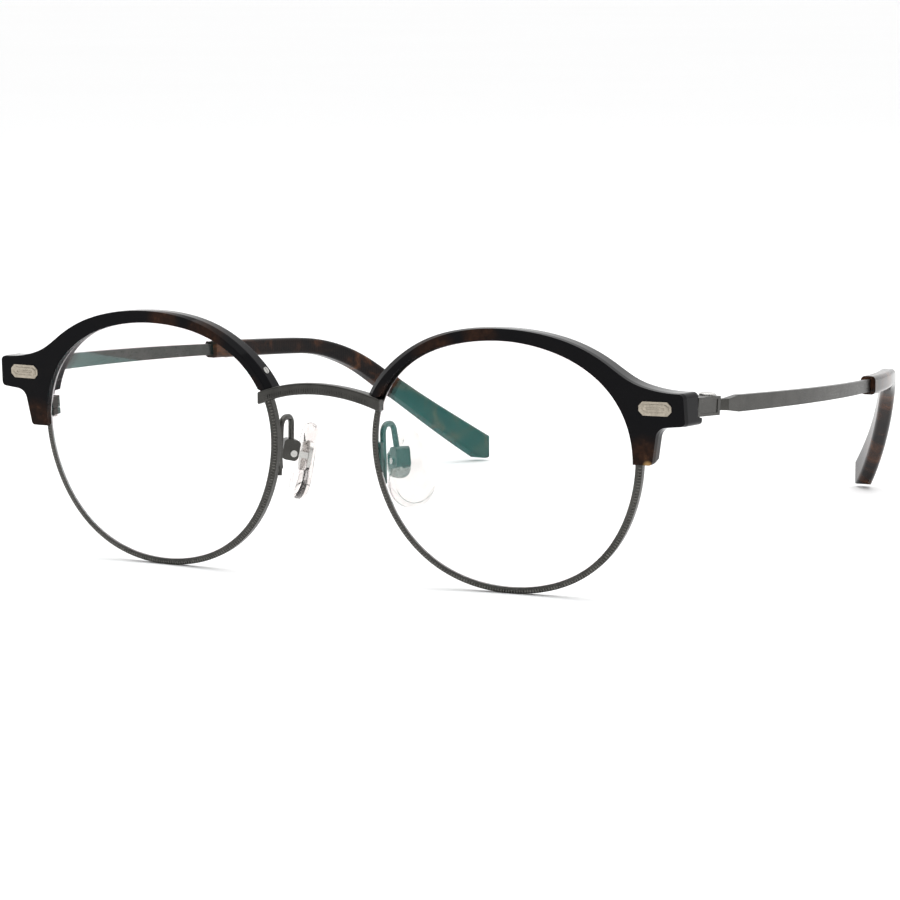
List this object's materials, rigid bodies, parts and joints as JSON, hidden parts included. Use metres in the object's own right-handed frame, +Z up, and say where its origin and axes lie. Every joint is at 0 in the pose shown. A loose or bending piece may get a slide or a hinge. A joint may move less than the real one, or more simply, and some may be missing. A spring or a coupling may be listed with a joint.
{
  "type": "half rim eyeglasses",
  "caption": "Round half-rim eyeglasses: thin metal eyewires under dark acetate brows, saddle bridge, rocking nose pads and folding metal temples with acetate tips.",
  "frame": {"origin": "centre of the bounding box in plan, on the table the glasses stand on (bottoms of the eyewires and ends of the temple tips)", "axes": "+Z up, lenses face -Y, temples run toward +Y, wearer's left side at +X"},
  "size_m": [0.143, 0.1548, 0.0458],
  "materials": {
    "gunmetal": "dark gunmetal plating, satin, with fine milgrain and engraving",
    "tortoise_acetate": "polished very dark tortoise acetate",
    "tip_acetate": "polished translucent dark tortoise acetate",
    "lens": "clear coated demo lens",
    "plaque": "champagne plating with fine engraved grid",
    "screw": "plain steel",
    "clear_pad": "clear moulded pad"
  },
  "bodies": {
    "front": {"bridge": "gunmetal", "left_eyewire": "gunmetal", "left_lens": "lens", "left_rim_lock": "gunmetal", "left_rim_lock_screw": "screw", "left_brow": "tortoise_acetate", "left_brow_plaque": "plaque", "left_brow_screw": "screw", "left_endpiece": "gunmetal", "left_hinge_screw": "screw", "left_pad_arm": "gunmetal", "left_pad_box": "gunmetal", "left_pad_screw": "screw", "right_eyewire": "gunmetal", "right_lens": "lens", "right_rim_lock": "gunmetal", "right_rim_lock_screw": "screw", "right_brow": "tortoise_acetate", "right_brow_plaque": "plaque", "right_brow_screw": "screw", "right_endpiece": "gunmetal", "right_hinge_screw": "screw", "right_pad_arm": "gunmetal", "right_pad_box": "gunmetal", "right_pad_screw": "screw"},
    "left_temple_arm": {"left_temple": "gunmetal", "left_temple_tip": "tip_acetate"},
    "left_pad": {"left_nose_pad": "clear_pad", "left_pad_core": "screw"},
    "right_temple_arm": {"right_temple": "gunmetal", "right_temple_tip": "tip_acetate"},
    "right_pad": {"right_nose_pad": "clear_pad", "right_pad_core": "screw"}
  },
  "joints": [
    {"name": "left_temple_fold", "type": "hinge", "parent": "front", "child": "left_temple_arm", "pos_m": [0.06595, -0.06167, 0.03308], "axis": [0.0346, 0.05, 0.9981], "range_deg": [0, 85]},
    {"name": "right_temple_fold", "type": "hinge", "parent": "front", "child": "right_temple_arm", "pos_m": [-0.06595, -0.06167, 0.03308], "axis": [-0.0207, -0.0572, -0.9981], "range_deg": [0, 85]},
    {"name": "left_pad_rock", "type": "hinge", "parent": "front", "child": "left_pad", "pos_m": [0.0107, -0.06617, 0.0209], "axis": [0.6428, 0.766, 0], "range_deg": [-12, 12]},
    {"name": "right_pad_rock", "type": "hinge", "parent": "front", "child": "right_pad", "pos_m": [-0.0107, -0.06617, 0.0209], "axis": [-0.6428, 0.766, 0], "range_deg": [-12, 12]}
  ]
}
